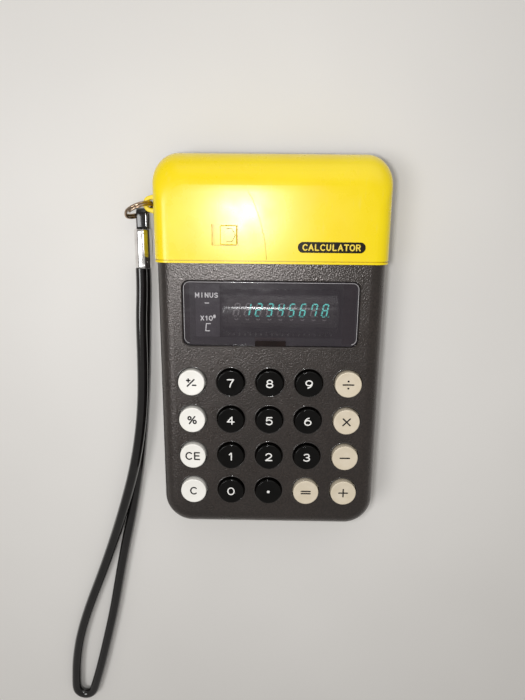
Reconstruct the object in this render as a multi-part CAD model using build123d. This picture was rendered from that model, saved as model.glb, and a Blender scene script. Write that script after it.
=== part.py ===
"""Pocket calculator with a yellow top cover, 20 keys, a tube display and a wrist strap.

Millimetres. The calculator lies on its back: +Z points out of the keyboard, +Y towards the
yellow cover and +X to the user's right. The origin is the middle of the back face, on that face.
"""
from build123d import *
from math import cos, pi, radians, sin, tan
import os

# ---------------------------------------------------------------- driving dimensions
case_length = 146.3
body_width = 85.2
rear_width = 86.2
cover_width = 86.6

parting_z = 8.5          # where the rear case meets the front case and the top cover
panel_z = 21.6           # face of the keyboard panel
cover_z = 22.6           # face of the yellow cover
wall = 2.2
rear_wall = 2.0

low_corner = 11.5        # plan radius of the bottom corners
high_corner = 9.5        # plan radius of the rear case's top corners
cover_corner = 9.0       # plan radius of the cover's top corners
body_edge = 6.0          # roll-off along the sides and the bottom end
cover_edge = 5.5
cover_end_roll = 12.5    # the cover's long roll-off at its top end
rear_edge = 3.0

cover_mouth_y = 34.15    # lower edge of the yellow cover
bead_width = 1.15
groove_width = 0.35
groove_depth = 0.35
neck_length = 4.0        # the front case reaches this far under the cover

key_pitch = 15.0
key_row_y = -11.25       # top row
key_row_pitch = 15.15
key_diameter = 10.1
key_hole = 10.7
key_height = 2.0         # above the panel
key_travel = 1.2
key_flange = 12.2
key_flange_thickness = 1.0
key_stem = 4.4
key_edge = 0.35
key_dish_depth = 0.25

window_width = 66.0
window_height = 24.8
window_y = 15.25
window_corner = 2.7
window_gap = 0.2
window_sink = 0.5
mask_thickness = 0.6
mask_gap = 0.05          # between the mask and the pane
mask_width = 74.0
mask_height = 28.4
aperture_half_width = 28.6
aperture_low_y = 5.9
aperture_high_y = 26.2

board_z = 12.0           # upper face of the main board
board_thickness = 1.6
board_half_width = 33.0
board_low_y = -66.0
board_high_y = 29.0
mat_thickness = 0.5
mat_cup_height = 0.25

tube_low_x = -18.9
tube_high_x = 26.3
tube_low_y = 6.65
tube_high_y = 23.45
tube_low_z = 12.4
tube_base_z = 13.6
tube_high_z = 18.4
tube_glass = 1.1
digit_count = 9
digit_pitch = 4.26
first_digit_x = -13.15
digit_y = 15.8
digit_grid_z = 15.4
lead_count = 20
lead_pitch = 2.1

cell_diameter = 14.2
cell_body = 49.0
cell_nub = 1.4
cell_z = 10.45
cell_ys = (45.9, 61.5)
cradle_half_width = 28.0
cradle_low_y = 37.4
cradle_high_y = 70.0
cradle_low_z = 3.2
cradle_high_z = 18.4
cradle_wall = 1.0
cradle_end_roll = 8.5
contact_thickness = 0.3

door_half_width = 26.0
door_low_y = 37.5
door_thickness = 1.8
door_gap = 0.2
door_tongue = 1.2

slot_low_x = -21.6
slot_high_x = -11.8
slot_low_y = 40.5
slot_high_y = 48.0
knob_width = 6.0
knob_travel = 3.0
knob_end_gap = 0.75
knob_side_gap = 0.35
knob_height = 0.3        # above the cover
skirt_thickness = 0.6
arrow_inset = 0.5        # from the arrow's tip to the knob's end
arrow_head = 1.25
arrow_length = 4.0
arrow_half_height = 2.35
arrow_depth = 0.2

badge_x = 21.65
badge_y = 40.2
badge_width = 24.4
badge_height = 3.9
badge_depth = 0.4

label_width = 50.0
label_height = 22.0
label_y = -22.0
label_depth = 0.35

boss_radius = 2.8
low_screw_x = 36.2
low_screw_y = -64.5
high_screw_x = 36.4
high_screw_y = 64.6
screw_radius = 1.25
screw_head_radius = 2.1
screw_head_height = 1.5
screw_sink = 4.0         # depth of the counterbore, from the back
pillar_height = 6.0
pillar_radius = 3.2
board_screw_xs = (-22.5, 22.5)
board_screw_ys = (-18.8, -49.1)

lug_hole = (-45.2, 54.85, 10.0)
lug_hole_radius = 1.6
lug_radius = 3.2
lug_thickness = 2.6

ring_radius = 5.4        # to the middle of the wire
ring_wire = 0.5          # radius of the wire
ring_yaw = 24.0          # direction of the ring's long axis, from +X towards +Y
ring_lean = 14.0         # lean of the ring's plane out of the vertical
ring_turn_pitch = 0.96

tab_x = -50.1
tab_width = 4.4
tab_thickness = 4.6
ferrule_x = -50.3
ferrule_low_y = 30.4
ferrule_high_y = 45.4
ferrule_width = 5.8
ferrule_low_z = 0.1
ferrule_high_z = 8.9
ferrule_chamfer = 1.7

strap_diameter = 4.4

# The strap's middle line: out of the sleeve along the upper strand, round the fold at its far
# end and back along the lower strand, which lies on the surface that the calculator stands on.
strap_route = [
    (-51.1, 30.4, 6.7),
    (-51.1, 22.8, 6.7),
    (-52.1, 9.5, 6.75),
    (-52.2, -8.0, 6.75),
    (-52.9, -25.0, 6.75),
    (-54.9, -41.0, 6.75),
    (-58.2, -57.0, 6.75),
    (-63.3, -74.0, 5.4),
    (-69.6, -92.5, 2.9),
    (-76.6, -111.5, 2.3),
    (-83.6, -129.0, 2.3),
    (-89.0, -145.5, 2.3),
    (-91.7, -159.5, 2.3),
    (-92.6, -170.0, 2.3),
    (-92.9, -176.2, 2.3),
    (-90.8, -178.8, 2.3),
    (-87.6, -179.4, 2.3),
    (-84.7, -177.7, 2.3),
    (-82.8, -171.8, 2.3),
    (-79.9, -162.0, 2.3),
    (-75.9, -146.5, 2.3),
    (-71.8, -130.0, 2.3),
    (-68.3, -112.5, 2.3),
    (-64.6, -95.0, 2.3),
    (-60.6, -77.5, 2.3),
    (-57.3, -59.5, 2.3),
    (-54.8, -41.5, 2.3),
    (-53.0, -23.5, 2.3),
    (-51.9, -5.5, 2.3),
    (-51.2, 10.5, 2.3),
    (-50.5, 22.6, 2.3),
    (-50.5, 30.4, 2.3),
]

key_names = [
    ["key_sign", "key_7", "key_8", "key_9", "key_divide"],
    ["key_percent", "key_4", "key_5", "key_6", "key_multiply"],
    ["key_clear_entry", "key_1", "key_2", "key_3", "key_minus"],
    ["key_clear", "key_0", "key_point", "key_equals", "key_plus"],
]

# ---------------------------------------------------------------- derived values
half_length = case_length / 2
panel_under_z = panel_z - wall
cover_under_z = cover_z - wall
key_top_z = panel_z + key_height
key_flange_top_z = panel_under_z - 0.1
board_low_z = board_z - board_thickness
mask_high_z = panel_under_z - mask_gap
mask_low_z = mask_high_z - mask_thickness
cut_margin = 5.0         # how far cutting tools run past the faces they cut


# ---------------------------------------------------------------- shared shapes
def block(x0, x1, y0, y1, z0, z1):
    """A box between two corners."""
    return Pos((x0 + x1) / 2, (y0 + y1) / 2, (z0 + z1) / 2) * Box(x1 - x0, y1 - y0, z1 - z0)


def disc(x, y, radius, z0, z1):
    """An upright cylinder between two heights."""
    return Pos(x, y, (z0 + z1) / 2) * Cylinder(radius, z1 - z0)


def rounded_block(width, height, corner, x, y, z0, z1):
    """A plate with rounded plan corners."""
    return extrude(Pos(x, y, z0) * RectangleRounded(width, height, corner), z1 - z0)


def key_place(row, column):
    return ((column - 2) * key_pitch, key_row_y - row * key_row_pitch)


def key_places():
    return [key_place(row, column) for row in range(4) for column in range(5)]


def end_roll(half_width, far_y, top_z, low_z, radius):
    """The solid under a quarter-round top end."""
    back_y = far_y - case_length - cut_margin
    turn_y = far_y - radius
    outline = Polyline((0, back_y, low_z), (0, back_y, top_z), (0, turn_y, top_z))
    middle = (0, turn_y + radius * sin(radians(45)), top_z - radius * (1 - cos(radians(45))))
    curve = ThreePointArc((0, turn_y, top_z), middle, (0, far_y, top_z - radius))
    close = Polyline((0, far_y, top_z - radius), (0, far_y, low_z), (0, back_y, low_z))
    face = make_face([*outline.edges(), *curve.edges(), *close.edges()])
    return extrude(face, half_width + cut_margin, dir=(1, 0, 0), both=True)


def front_form(inset):
    """The outside of the front case, or its inside when inset is the wall."""
    half = body_width / 2 - inset
    form = block(-half, half, inset - half_length, cover_mouth_y - 0.15, parting_z, panel_z - inset)
    corners = form.edges().filter_by(Axis.Z).sort_by(Axis.Y)[:2]
    form = fillet(corners, low_corner - inset)
    rim = form.faces().sort_by(Axis.Z)[-1].edges().sort_by(Axis.Y)[:-1]
    return fillet(rim, body_edge - inset)


def cover_form(inset, low_y=cover_mouth_y):
    """The outside of the yellow cover, or its inside when inset is the wall."""
    half = cover_width / 2 - inset
    high_y = half_length - inset
    top_z = cover_z - inset
    form = block(-half, half, low_y, high_y, parting_z, top_z)
    corners = form.edges().filter_by(Axis.Z).sort_by(Axis.Y)[-2:]
    form = fillet(corners, cover_corner - inset)
    rim = form.faces().sort_by(Axis.Z)[-1].edges().sort_by(Axis.Y)[1:]
    form = fillet(rim, cover_edge - inset)
    return form & end_roll(half, high_y, top_z, parting_z, cover_end_roll - inset)


def rear_form(inset_side, low_z, high_z, edge):
    """The rear case's outside, or its inside."""
    half = rear_width / 2 - inset_side
    end = half_length - inset_side
    form = block(-half, half, -end, end, low_z, high_z)
    low_uprights = form.edges().filter_by(Axis.Z).sort_by(Axis.Y)[:2]
    form = fillet(low_uprights, low_corner - inset_side)
    high_uprights = form.edges().filter_by(Axis.Z).sort_by(Axis.Y)[-2:]
    form = fillet(high_uprights, high_corner - inset_side)
    return fillet(form.faces().sort_by(Axis.Z)[0].edges(), edge)


# ---------------------------------------------------------------- housing
def front_case():
    solid = front_form(0) - front_form(wall)
    neck_half = cover_width / 2 - wall - 0.1
    neck_inner = body_width / 2 - wall - 0.8
    neck_top = cover_under_z - 0.1
    neck_low_y = cover_mouth_y - 4.15
    neck_high_y = cover_mouth_y + neck_length
    neck = cover_form(wall + 0.1, neck_low_y)
    neck = neck & block(-neck_half, neck_half, neck_low_y, neck_high_y, parting_z, neck_top)
    hollow = block(-neck_inner, neck_inner, neck_low_y - 1, neck_high_y + 1, parting_z - 1, neck_top - 1.4)
    neck = neck - fillet(hollow.edges().filter_by(Axis.Y).sort_by(Axis.Z)[-2:], 2.5)
    inside_body = front_form(wall / 2) & block(-50, 50, neck_low_y, cover_mouth_y, parting_z, panel_z)
    beyond_body = block(-50, 50, cover_mouth_y - 0.15, neck_high_y, parting_z, panel_z)
    solid = solid + (neck & (inside_body + beyond_body))
    window = rounded_block(window_width, window_height, window_corner, 0, window_y,
                           panel_under_z - 1, panel_z + 1)
    solid = solid - window
    for x, y in key_places():
        solid = solid - disc(x, y, key_hole / 2, panel_under_z - 1, panel_z + 1)
    mouth_edges = [
        edge for edge in solid.faces().sort_by(Axis.Z)[-1].edges()
        if abs(edge.center().Z - panel_z) < 0.01 and is_hole_edge(edge)
    ]
    solid = chamfer(mouth_edges, 0.35)
    for side in (-1, 1):
        solid = solid + disc(side * low_screw_x, low_screw_y, boss_radius, pillar_height + 0.1,
                             panel_under_z + 0.2)
        solid = solid - disc(side * low_screw_x, low_screw_y, screw_radius, pillar_height - 1, 15.0)
    for x in board_screw_xs:
        for y in board_screw_ys:
            solid = solid + disc(x, y, 1.8, board_z, panel_under_z + 0.2)
            solid = solid - disc(x, y, 0.8, board_z - 1, 15.5)
    return solid


def is_hole_edge(edge):
    """True for the edges of the panel's key holes and window, and not for its own outline."""
    middle = edge.center()
    inside_x = abs(middle.X) < body_width / 2 - body_edge - 0.5
    inside_y = -half_length + body_edge + 0.2 < middle.Y < window_y + window_height / 2 + 0.5
    return inside_x and inside_y


def top_cover():
    solid = cover_form(0) - cover_form(wall)
    groove_y = cover_mouth_y + bead_width
    band = block(-60, 60, groove_y, groove_y + groove_width, parting_z - 1, cover_z + 1)
    solid = solid - ((cover_form(0) - cover_form(groove_depth)) & band)
    solid = solid - block(slot_low_x, slot_high_x, slot_low_y, slot_high_y, cover_under_z - 1, cover_z + 1)
    solid = solid - rounded_block(badge_width, badge_height, badge_height / 2 - 0.05, badge_x, badge_y,
                                  cover_z - badge_depth, cover_z + 1)
    hole_x, hole_y, hole_z = lug_hole
    low_z = hole_z - lug_thickness / 2
    high_z = hole_z + lug_thickness / 2
    wall_x = -cover_width / 2 + 1.0
    lug = disc(hole_x, hole_y, lug_radius, low_z, high_z)
    web = Polyline((hole_x - 1.6, hole_y + 2.77), (wall_x, hole_y + 4.2), (wall_x, hole_y - 4.2),
                   (hole_x - 1.6, hole_y - 2.77), close=True)
    lug = lug + extrude(Pos(0, 0, low_z) * make_face(web), lug_thickness)
    lug = lug - block(wall_x, 0, hole_y - 10, hole_y + 10, low_z - 1, high_z + 1)
    lug = chamfer(lug.faces().sort_by(Axis.Z)[-1].edges().sort_by(Axis.X)[:-1], 0.3)
    solid = solid + lug
    solid = solid - disc(hole_x, hole_y, lug_hole_radius, low_z - 1, high_z + 1)
    for side in (-1, 1):
        boss = disc(side * high_screw_x, high_screw_y, boss_radius, parting_z, cover_z)
        boss_end = disc(side * high_screw_x, high_screw_y, boss_radius, pillar_height + 0.1, parting_z + 0.1)
        solid = solid + (boss & cover_form(wall / 2)) + boss_end
        solid = solid - disc(side * high_screw_x, high_screw_y, screw_radius, pillar_height - 1, 15.0)
    return solid


def rear_case():
    solid = rear_form(0, 0, parting_z, rear_edge)
    solid = solid - rear_form(rear_wall, rear_wall, parting_z + cut_margin, 1.0)
    rails = [
        block(side * door_half_width, side * (door_half_width + 3.0), door_low_y, 70.4, rear_wall - 0.5, 3.0)
        if side > 0 else
        block(side * (door_half_width + 3.0), side * door_half_width, door_low_y, 70.4, rear_wall - 0.5, 3.0)
        for side in (-1, 1)
    ]
    solid = solid + rails[0] + rails[1]
    solid = solid - block(-door_half_width, door_half_width, door_low_y, 90, -1, rear_wall)
    groove_half = door_half_width + door_tongue + door_gap
    solid = solid - block(-groove_half, groove_half, door_low_y, 90, 0.7, door_thickness)
    for x, y in rear_screw_places():
        solid = solid + disc(x, y, pillar_radius, rear_wall - 0.5, pillar_height)
        solid = solid - disc(x, y, 2.4, -1, screw_sink)
        solid = solid - disc(x, y, 1.4, 0, pillar_height + 1)
    return solid - rounded_block(label_width, label_height, 1.5, 0, label_y, -1, label_depth)


def rear_screw_places():
    return [
        (-low_screw_x, low_screw_y), (low_screw_x, low_screw_y),
        (-high_screw_x, high_screw_y), (high_screw_x, high_screw_y),
    ]


def battery_door():
    half = door_half_width - door_gap
    low_y = door_low_y + door_gap
    plate = rear_form(0, 0, parting_z, rear_edge) & block(-half, half, low_y, 90, -1, door_thickness)
    tongue_half = door_half_width + door_tongue
    tongues = block(-tongue_half, tongue_half, low_y + 0.5, 66.0, 0.9, 1.6)
    plate = plate + tongues
    for step in range(6):
        ridge_y = 42.0 + step * 1.6
        plate = plate - block(-9, 9, ridge_y, ridge_y + 0.8, -1, 0.45)
    return plate


def rear_label():
    return rounded_block(label_width - 0.4, label_height - 0.4, 1.3, 0, label_y, 0.1, label_depth)


def case_screws():
    return [case_screw(x, y) for x, y in rear_screw_places()]


def case_screw(x, y):
    head = disc(x, y, screw_head_radius, screw_sink - screw_head_height, screw_sink)
    shank = disc(x, y, screw_radius, screw_sink, 14.5)
    slot = block(x - 1.6, x + 1.6, y - 0.25, y + 0.25, 0, screw_sink - 0.9)
    cross = block(x - 0.25, x + 0.25, y - 1.6, y + 1.6, 0, screw_sink - 0.9)
    return head + shank - slot - cross


def badge_plate():
    return rounded_block(badge_width - 0.1, badge_height - 0.1, badge_height / 2 - 0.1, badge_x, badge_y,
                         cover_z - badge_depth, cover_z + 0.05)


# ---------------------------------------------------------------- display
def display_window():
    pane = rounded_block(window_width - 2 * window_gap, window_height - 2 * window_gap,
                         window_corner - window_gap, 0, window_y, panel_under_z, panel_z - window_sink)
    return chamfer(pane.faces().sort_by(Axis.Z)[-1].edges(), 0.25)


def display_mask():
    frame = rounded_block(mask_width, mask_height, 2.0, 0, window_y - 0.75, mask_low_z, mask_high_z)
    hole = block(-aperture_half_width, aperture_half_width, aperture_low_y, aperture_high_y,
                 mask_low_z - 1, panel_under_z + 1)
    return frame - hole


def legend_strip():
    return block(-30.5, -19.3, 4.5, 27.5, mask_low_z - 0.4, mask_low_z)


def tube_cover():
    shell = block(tube_low_x, tube_high_x, tube_low_y, tube_high_y, tube_base_z, tube_high_z)
    shell = fillet(shell.edges().filter_by(Axis.Z), 1.2)
    shell = fillet(shell.faces().sort_by(Axis.Z)[-1].edges(), 0.9)
    return shell - block(tube_low_x + tube_glass, tube_high_x - tube_glass, tube_low_y + tube_glass,
                         tube_high_y - tube_glass, tube_base_z - 1, tube_high_z - tube_glass)


def tube_base():
    plate = block(tube_low_x, tube_high_x, tube_low_y, tube_high_y, tube_low_z, tube_base_z)
    return fillet(plate.edges().filter_by(Axis.Z), 1.2)


def digit_x(index):
    return first_digit_x + index * digit_pitch


def anode_plate():
    return block(digit_x(0) - 3.2, digit_x(digit_count - 1) + 3.2, digit_y - 5.6, digit_y + 5.0,
                 tube_base_z, tube_base_z + 0.8)


def digit_grids():
    return [digit_grid(digit_x(index)) for index in range(digit_count)]


def digit_grid(x):
    mesh = block(x - 1.9, x + 1.9, digit_y - 4.6, digit_y + 4.0, digit_grid_z, digit_grid_z + 0.15)
    for step in range(3):
        bar_x = x - 1.15 + step * 1.15
        mesh = mesh - block(bar_x - 0.4, bar_x + 0.4, digit_y - 4.1, digit_y + 3.5,
                            digit_grid_z - 1, digit_grid_z + 1)
    leg = block(x - 0.3, x + 0.3, digit_y - 4.6, digit_y - 4.35, tube_base_z + 0.8, digit_grid_z)
    return mesh + leg


def filaments():
    return [filament(y) for y in (digit_y - 2.0, digit_y + 1.6)]


def filament(y):
    low_x = digit_x(0) - 3.8
    high_x = digit_x(digit_count - 1) + 3.8
    wire = Pos((low_x + high_x) / 2, y, 16.4) * Rot(0, 90, 0) * Cylinder(0.1, high_x - low_x)
    for x in (low_x, high_x):
        wire = wire + block(x - 0.3, x + 0.3, y - 0.4, y + 0.4, tube_base_z, 16.6)
    return wire


def tube_leads():
    first_x = (tube_low_x + tube_high_x) / 2 - lead_pitch * (lead_count - 1) / 2
    leads = []
    for index in range(lead_count):
        x = first_x + index * lead_pitch
        foot = block(x - 0.25, x + 0.25, tube_low_y - 1.4, tube_low_y - 1.15, board_z, tube_base_z - 0.4)
        arm = block(x - 0.25, x + 0.25, tube_low_y - 1.4, tube_low_y, tube_base_z - 0.65, tube_base_z - 0.4)
        leads.append(foot + arm)
    return leads


# ---------------------------------------------------------------- keys
def key(x, y):
    head = disc(x, y, key_diameter / 2, key_flange_top_z, key_top_z)
    rim = head.faces().sort_by(Axis.Z)[-1].edges()
    head = fillet(rim, key_edge)
    dish_half = key_diameter / 2 - key_edge - 0.15
    ball_radius = (dish_half ** 2 + key_dish_depth ** 2) / (2 * key_dish_depth)
    dish = Pos(x, y, key_top_z - key_dish_depth + ball_radius) * Sphere(ball_radius)
    head = head - dish
    flange = disc(x, y, key_flange / 2, key_flange_top_z - key_flange_thickness, key_flange_top_z)
    stem = disc(x, y, key_stem / 2, board_z + 2.0, key_flange_top_z)
    return head + flange + stem


def contact_mat():
    sheet = block(-board_half_width, board_half_width, -64.0, -3.0, board_z, board_z + mat_thickness)
    for x, y in key_places():
        cup = Pos(x, y, board_z + mat_thickness) * Cone(3.4, 2.6, mat_cup_height,
                                                        align=(Align.CENTER, Align.CENTER, Align.MIN))
        sheet = sheet + cup
    for x in board_screw_xs:
        for y in board_screw_ys:
            sheet = sheet - disc(x, y, 2.1, board_z - 1, board_z + 2)
    return sheet


# ---------------------------------------------------------------- electronics
def main_board():
    board = block(-board_half_width, board_half_width, board_low_y, board_high_y, board_low_z, board_z)
    board = fillet(board.edges().filter_by(Axis.Z), 2.0)
    for x in board_screw_xs:
        for y in board_screw_ys:
            board = board - disc(x, y, 0.9, board_low_z - 1, board_z + 1)
    return board


def board_screws():
    screws = []
    for x in board_screw_xs:
        for y in board_screw_ys:
            head = disc(x, y, 1.6, board_low_z - 1.2, board_low_z)
            slot = block(x - 1.2, x + 1.2, y - 0.2, y + 0.2, board_low_z - 2, board_low_z - 0.7)
            screws.append(head + disc(x, y, 0.8, board_low_z, 15.2) - slot)
    return screws


def calculator_chip():
    body = block(-18.5, 18.5, -38.0, -24.5, 5.4, 9.2)
    body = chamfer(body.faces().sort_by(Axis.Z)[0].edges(), 0.5)
    notch = Pos(-18.5, -31.25, 5.4) * Cylinder(1.2, 1.0)
    return body - notch


def chip_pins():
    pins = []
    for index in range(14):
        x = -16.51 + index * 2.54
        for side in (-1, 1):
            body_y = -31.25 + side * 6.75
            out_y = body_y + side * 0.9
            low, high = sorted((body_y, out_y))
            arm = block(x - 0.5, x + 0.5, low, high, 7.2, 7.45)
            low, high = sorted((out_y, out_y - side * 0.25))
            pins.append(arm + block(x - 0.25, x + 0.25, low, high, 7.2, board_low_z))
    return pins


def transformer_core():
    core = block(-27.0, -13.0, 6.0, 20.0, 2.8, board_low_z)
    window = block(-25.2, -14.8, 8.2, 17.8, 2, board_low_z + 1)
    middle_leg = block(-22.2, -17.8, 8.2, 17.8, 4.2, 9.0)
    return core - window + middle_leg


def transformer_winding():
    ring = block(-25.0, -15.0, 8.5, 17.5, 3.0, 10.2)
    ring = fillet(ring.edges().filter_by(Axis.Y), 1.2)
    return ring - block(-22.25, -17.75, 8, 18, 4.15, 9.05)


def electrolytic_capacitors():
    cans = []
    for x in (2.0, 11.0, 20.0):
        can = Pos(x, 12.0, 6.6) * Rot(90, 0, 0) * Cylinder(3.15, 11.0)
        can = fillet(can.edges().filter_by(GeomType.CIRCLE), 0.5)
        for lead in (-1.25, 1.25):
            can = can + disc(x + lead, 7.2, 0.3, 8.2, board_low_z)
        cans.append(can)
    return cans


def resistors():
    bodies = []
    for index in range(6):
        x = -12.5 + index * 5.0
        body = Pos(x, -12.0, 8.4) * Rot(90, 0, 0) * Cylinder(1.1, 6.0)
        for end in (-1, 1):
            body = body + disc(x, -12.0 + end * 2.4, 0.28, 8.4, board_low_z)
        bodies.append(body)
    return bodies


def transistors():
    bodies = []
    for index in range(3):
        x = 12.0 + index * 7.0
        y = -57.0
        body = disc(x, y, 2.3, 4.6, 9.2) - block(x - 3, x + 3, y - 5, y - 1.4, 4, 10)
        for leg in (-1.27, 0, 1.27):
            body = body + disc(x + leg, y, 0.24, 9.0, board_low_z)
        bodies.append(body)
    return bodies


# ---------------------------------------------------------------- batteries and power switch
def battery_cradle():
    box = block(-cradle_half_width, cradle_half_width, cradle_low_y, cradle_high_y,
                cradle_low_z, cradle_high_z)
    box = box & end_roll(cradle_half_width, cradle_high_y, cradle_high_z, 0, cradle_end_roll)
    inner = cradle_half_width - cradle_wall
    ceiling = end_roll(cradle_half_width, cradle_high_y - cradle_wall, cradle_high_z - 0.7, 0,
                       cradle_end_roll - 0.9)
    middle_y = sum(cell_ys) / 2
    bays = [(cradle_low_y + cradle_wall, middle_y - 0.4), (middle_y + 0.4, cradle_high_y - cradle_wall)]
    for low, high in bays:
        box = box - (block(-inner, inner, low, high, cradle_low_z - 1, cradle_high_z - 0.7) & ceiling)
    for y in cell_ys:
        box = box - block(-cradle_half_width - 1, -inner + 0.5, y - 2.2, y + 2.2, 8.0, 13.0)
    return box - block(inner - 0.5, inner + 0.5, middle_y - 3.0, middle_y + 3.0, 6.0, 8.0)


def cell(y, way):
    """One cell lying along X, its positive end towards way."""
    body = Pos(-way * cell_nub / 2, y, cell_z) * Rot(0, 90, 0) * Cylinder(cell_diameter / 2, cell_body)
    body = fillet(body.edges().filter_by(GeomType.CIRCLE), 0.6)
    nub_x = way * (cell_body / 2)
    return body + Pos(nub_x, y, cell_z) * Rot(0, 90, 0) * Cylinder(2.75, cell_nub)


def cell_face_x():
    return cell_body / 2 + cell_nub / 2


def flat_contact(side, y):
    """A plate with a pressed boss, which meets a cell's positive end."""
    inner = cradle_half_width - cradle_wall
    low, high = sorted((side * inner, side * (inner - contact_thickness)))
    plate = block(low, high, y - 4.0, y + 4.0, 6.5, 14.5)
    boss_low, boss_high = sorted((side * cell_face_x(), side * inner))
    boss = Pos((boss_low + boss_high) / 2, y, cell_z) * Rot(0, 90, 0) * Cylinder(2.0, boss_high - boss_low)
    return plate + boss


def leaf_contact(side, y):
    """A plate with a folded leaf, which presses on a cell's negative end."""
    inner = cradle_half_width - cradle_wall
    low, high = sorted((side * inner, side * (inner - contact_thickness)))
    plate = block(low, high, y - 4.0, y + 4.0, 6.5, 14.5)
    tip = cell_face_x()
    points = [
        (side * inner, 0, 14.5), (side * tip, 0, cell_z), (side * (tip + 0.35), 0, cell_z - 0.3),
        (side * (inner - 0.3), 0, 13.4),
    ]
    leaf = extrude(make_face(Polyline(*points, close=True)), 2.5, dir=(0, 1, 0), both=True)
    return plate + Pos(0, y, 0) * leaf


def positive_contact():
    tail = block(-29.4, -cradle_half_width + cradle_wall, cell_ys[1] - 1.5, cell_ys[1] + 1.5, 10.2, 10.5)
    return flat_contact(-1, cell_ys[1]) + tail


def negative_contact():
    tail = block(-29.4, -cradle_half_width + cradle_wall, cell_ys[0] - 1.5, cell_ys[0] + 1.5, 10.2, 10.5)
    return leaf_contact(-1, cell_ys[0]) + tail


def link_contact():
    inner = cradle_half_width - cradle_wall
    bridge = block(inner - contact_thickness, inner, cell_ys[0], cell_ys[1], 6.5, 7.5)
    return flat_contact(1, cell_ys[0]) + leaf_contact(1, cell_ys[1]) + bridge


def switch_board():
    board = block(-27.5, 4.0, 38.6, 50.4, cradle_high_z, cradle_high_z + 0.6)
    return fillet(board.edges().filter_by(Axis.Z), 1.0)


def switch_wiper():
    knob_mid = slot_high_x - knob_end_gap - knob_width / 2
    high_z = cover_under_z - 0.15 - skirt_thickness
    return block(knob_mid - 3.5, knob_mid + 3.5, 42.6, 45.8, cradle_high_z + 0.75, high_z)


def switch_knob():
    high_x = slot_high_x - knob_end_gap
    low_x = high_x - knob_width
    knob = block(low_x, high_x, slot_low_y + knob_side_gap, slot_high_y - knob_side_gap,
                 cover_under_z - 0.3, cover_z + knob_height)
    knob = chamfer(knob.faces().sort_by(Axis.Z)[-1].edges(), 0.25)
    arrow = make_face(Polyline((-arrow_length, arrow_half_height), (-arrow_head, arrow_half_height), (0, 0),
                               (-arrow_head, -arrow_half_height), (-arrow_length, -arrow_half_height),
                               close=True))
    tip = Pos(high_x - arrow_inset, (slot_low_y + slot_high_y) / 2, cover_z + knob_height - arrow_depth)
    knob = knob - extrude(tip * arrow, 1.0)
    skirt = block(slot_low_x - 0.8, slot_high_x + knob_travel + 0.5, slot_low_y - 1.5, slot_high_y + 1.5,
                  cover_under_z - 0.15 - skirt_thickness, cover_under_z - 0.15)
    return knob + skirt


def supply_wire(points, radius=0.5):
    """An insulated wire along straight runs joined by arcs."""
    path = FilletPolyline(*points, radius=corner_radii(points))
    return sweep(Plane(origin=path @ 0, z_dir=path % 0) * Circle(radius), path=path)


def supply_wires():
    red = [(-29.6, cell_ys[1], 11.2), (-31.0, 57.0, 12.6), (-32.0, 50.0, 14.0), (-31.4, 42.0, 14.0),
           (-29.5, 34.0, 13.4), (-28.0, 28.0, board_z + 0.5)]
    black = [(-29.6, cell_ys[0], 11.2), (-30.0, 41.5, 11.6), (-29.0, 36.0, 12.4), (-26.5, 31.5, 13.0),
             (-24.0, 27.5, board_z + 0.5)]
    return [supply_wire(red), supply_wire(black)]


# ---------------------------------------------------------------- wrist strap
def ring_plane():
    """The split ring's own plane: its X runs from its middle to the lug's hole."""
    along = Vector(cos(radians(ring_yaw)), sin(radians(ring_yaw)), 0)
    across = Vector(-sin(radians(ring_yaw)), cos(radians(ring_yaw)), 0)
    up = Vector(0, 0, 1) * cos(radians(ring_lean)) + across * sin(radians(ring_lean))
    middle = Vector(*lug_hole) - along * ring_radius
    return Plane(origin=middle, x_dir=along, z_dir=along.cross(up))


def split_ring():
    turn = Torus(ring_radius, ring_wire)
    both = Pos(0, 0, -ring_turn_pitch / 2) * turn + Pos(0, 0, ring_turn_pitch / 2) * turn
    return ring_plane().location * both


def tab_eye_middle():
    """The point of the ring's lower side that the strap's folded end hangs on."""
    return (tab_x, 51.2, 4.8)


def strap_tab():
    x, y, z = tab_eye_middle()
    half = tab_thickness / 2
    body = block(x - tab_width / 2, x + tab_width / 2, ferrule_high_y, y, z - half, z + half)
    body = body + Pos(x, y, z) * Rot(0, 90, 0) * Cylinder(half, tab_width)
    slot = Cylinder(ring_radius + 0.8, 2.6) - Cylinder(ring_radius - 0.8, 2.6)
    return body - ring_plane().location * slot


def strap_ferrule():
    sleeve = block(ferrule_x - ferrule_width / 2, ferrule_x + ferrule_width / 2,
                   ferrule_low_y, ferrule_high_y, ferrule_low_z, ferrule_high_z)
    return chamfer(sleeve.edges().filter_by(Axis.Y), ferrule_chamfer)


def corner_radii(points):
    """One arc for each corner: 0.45 of the shorter run over the tangent of half the turn."""
    radii = []
    for before, here, after in zip(points, points[1:], points[2:]):
        run_in = Vector(*here) - Vector(*before)
        run_out = Vector(*after) - Vector(*here)
        turn = run_in.get_angle(run_out)
        shorter = min(run_in.length, run_out.length)
        radii.append(0.45 * shorter / tan(radians(turn / 2)))
    return radii


def strap_cord():
    radii = corner_radii(strap_route)
    path = FilletPolyline(*strap_route, radius=radii)
    tube = sweep(Plane(origin=path @ 0, z_dir=path % 0) * Circle(strap_diameter / 2), path=path)
    expected = pi * (strap_diameter / 2) ** 2 * path.length
    print("strap arc radii:", [round(radius, 1) for radius in radii])
    print("strap length", round(path.length, 1))
    print("strap volume", round(tube.volume, 1), "expected", round(expected, 1))
    return tube


# ---------------------------------------------------------------- write every node
def group(solids):
    return Compound(children=list(solids))


def write(name, shape):
    shape.label = name
    export_step(shape, f"parts/{name}.step")


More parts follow.
